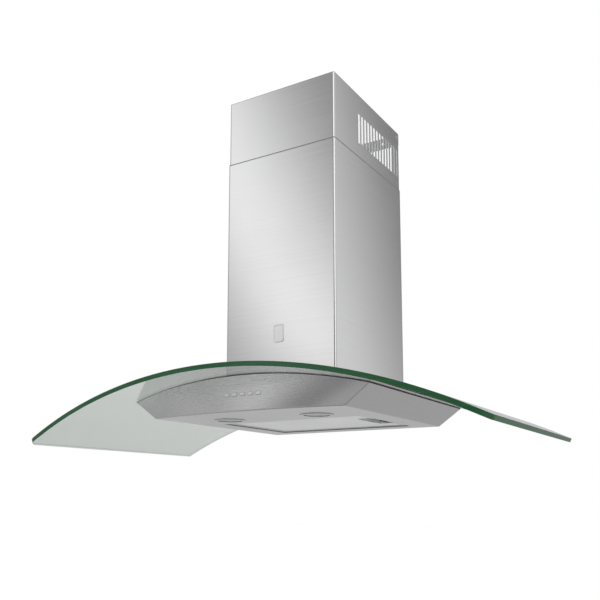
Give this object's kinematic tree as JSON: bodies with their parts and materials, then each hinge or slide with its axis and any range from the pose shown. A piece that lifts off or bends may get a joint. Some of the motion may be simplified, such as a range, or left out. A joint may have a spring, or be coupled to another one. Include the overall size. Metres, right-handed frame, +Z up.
{
  "type": "wall chimney range hood",
  "caption": "Wall chimney hood with an arched glass canopy, telescoping vented chimney, push buttons, lamps, hinged grease filter, blower and backdraft flaps.",
  "frame": {"origin": "midway between the two hanging holes, on the wall plane", "axes": "+Z up, +Y towards the wall, +X to the right of someone who faces the hood"},
  "size_m": [0.9, 0.499, 0.685],
  "materials": {
    "brushed_stainless": "fine horizontal brushing, satin",
    "button_steel": "satin caps in dark gaps",
    "canopy_glass": "clear tempered glass with green edges, polished",
    "black_rubber": "matt",
    "galvanised_steel": "zinc coated sheet, dull",
    "zinc_fasteners": "bright zinc plate",
    "filter_aluminium": "anodised frame and expanded mesh layers",
    "black_plastic": "moulded, fine texture",
    "grey_plastic": "moulded, satin",
    "lamp_lens": "frosted",
    "lamp_trim": "satin chrome ring",
    "circuit_board": "green solder mask",
    "motor_paint": "semi-gloss black",
    "capacitor_case": "smooth moulded case",
    "badge_metal": "plain satin plate with a raised rim"
  },
  "bodies": {
    "hood": {"badge": "badge_metal", "blower_box": "galvanised_steel", "button_guide": "black_plastic", "cable_gland": "black_plastic", "chimney_clips": "galvanised_steel", "chimney_edge_strip": "black_plastic", "clamp_nuts": "zinc_fasteners", "clamp_pads": "black_rubber", "clamp_screws": "zinc_fasteners", "control_box": "galvanised_steel", "control_box_cover": "galvanised_steel", "damper_pins": "zinc_fasteners", "duct_collar": "black_plastic", "glass_canopy": "canopy_glass", "glass_clamp_left": "galvanised_steel", "glass_clamp_right": "galvanised_steel", "glass_gasket": "black_rubber", "hanging_plate": "galvanised_steel", "hood_shell": "brushed_stainless", "hood_top_plate": "galvanised_steel", "inlet_ring": "galvanised_steel", "lamp_housing_left": "lamp_trim", "lamp_housing_right": "lamp_trim", "lamp_lens_left": "lamp_lens", "lamp_lens_right": "lamp_lens", "lower_chimney": "brushed_stainless", "motor": "motor_paint", "motor_bracket": "galvanised_steel", "power_board": "circuit_board", "push_switches": "black_plastic", "run_capacitor": "capacitor_case", "switch_board": "circuit_board", "volute_housing": "galvanised_steel"},
    "chimney_upper": {"upper_chimney": "brushed_stainless", "wall_bracket": "galvanised_steel", "chimney_side_screws": "zinc_fasteners"},
    "grease_filter": {"filter_frame": "filter_aluminium", "filter_mesh": "filter_aluminium", "filter_cup": "grey_plastic", "latch_spring": "zinc_fasteners"},
    "filter_latch": {"filter_latch": "black_plastic"},
    "blower": {"blower_wheel": "galvanised_steel", "motor_shaft": "zinc_fasteners"},
    "damper_front": {"damper_flap_front": "black_plastic"},
    "damper_back": {"damper_flap_back": "black_plastic"},
    "button_power": {"button_power": "button_steel"},
    "button_light": {"button_light": "button_steel"},
    "button_speed_low": {"button_speed_low": "button_steel"},
    "button_speed_medium": {"button_speed_medium": "button_steel"},
    "button_speed_high": {"button_speed_high": "button_steel"}
  },
  "joints": [
    {"name": "chimney_extension", "type": "slide", "parent": "hood", "child": "chimney_upper", "axis": [0, 0, 1], "range_m": [-0.1, 0.24]},
    {"name": "filter_hinge", "type": "hinge", "parent": "hood", "child": "grease_filter", "pos_m": [-0.1492, -0.149, -0.3085], "axis": [0, 1, 0], "range_deg": [0, 80]},
    {"name": "latch_slide", "type": "slide", "parent": "grease_filter", "child": "filter_latch", "axis": [-1, 0, 0], "range_m": [0, 0.006], "stiffness_N_per_m": 300, "springref_m": -0.004, "deforming": ["latch_spring"]},
    {"name": "blower_spin", "type": "hinge", "parent": "hood", "child": "blower", "pos_m": [0, -0.118, -0.162], "axis": [1, 0, 0], "continuous": true},
    {"name": "damper_front_hinge", "type": "hinge", "parent": "hood", "child": "damper_front", "pos_m": [0, -0.152, -0.0064], "axis": [-1, 0, 0], "range_deg": [0, 80]},
    {"name": "damper_back_hinge", "type": "hinge", "parent": "hood", "child": "damper_back", "pos_m": [0, -0.146, -0.0064], "axis": [1, 0, 0], "range_deg": [0, 80]},
    {"name": "press_power", "type": "slide", "parent": "hood", "child": "button_power", "axis": [0, 1, 0], "range_m": [0, 0.0016], "stiffness_N_per_m": 500, "springref_m": -0.001},
    {"name": "press_light", "type": "slide", "parent": "hood", "child": "button_light", "axis": [0, 1, 0], "range_m": [0, 0.0016], "stiffness_N_per_m": 500, "springref_m": -0.001},
    {"name": "press_speed_low", "type": "slide", "parent": "hood", "child": "button_speed_low", "axis": [0, 1, 0], "range_m": [0, 0.0016], "stiffness_N_per_m": 500, "springref_m": -0.001},
    {"name": "press_speed_medium", "type": "slide", "parent": "hood", "child": "button_speed_medium", "axis": [0, 1, 0], "range_m": [0, 0.0016], "stiffness_N_per_m": 500, "springref_m": -0.001},
    {"name": "press_speed_high", "type": "slide", "parent": "hood", "child": "button_speed_high", "axis": [0, 1, 0], "range_m": [0, 0.0016], "stiffness_N_per_m": 500, "springref_m": -0.001}
  ]
}
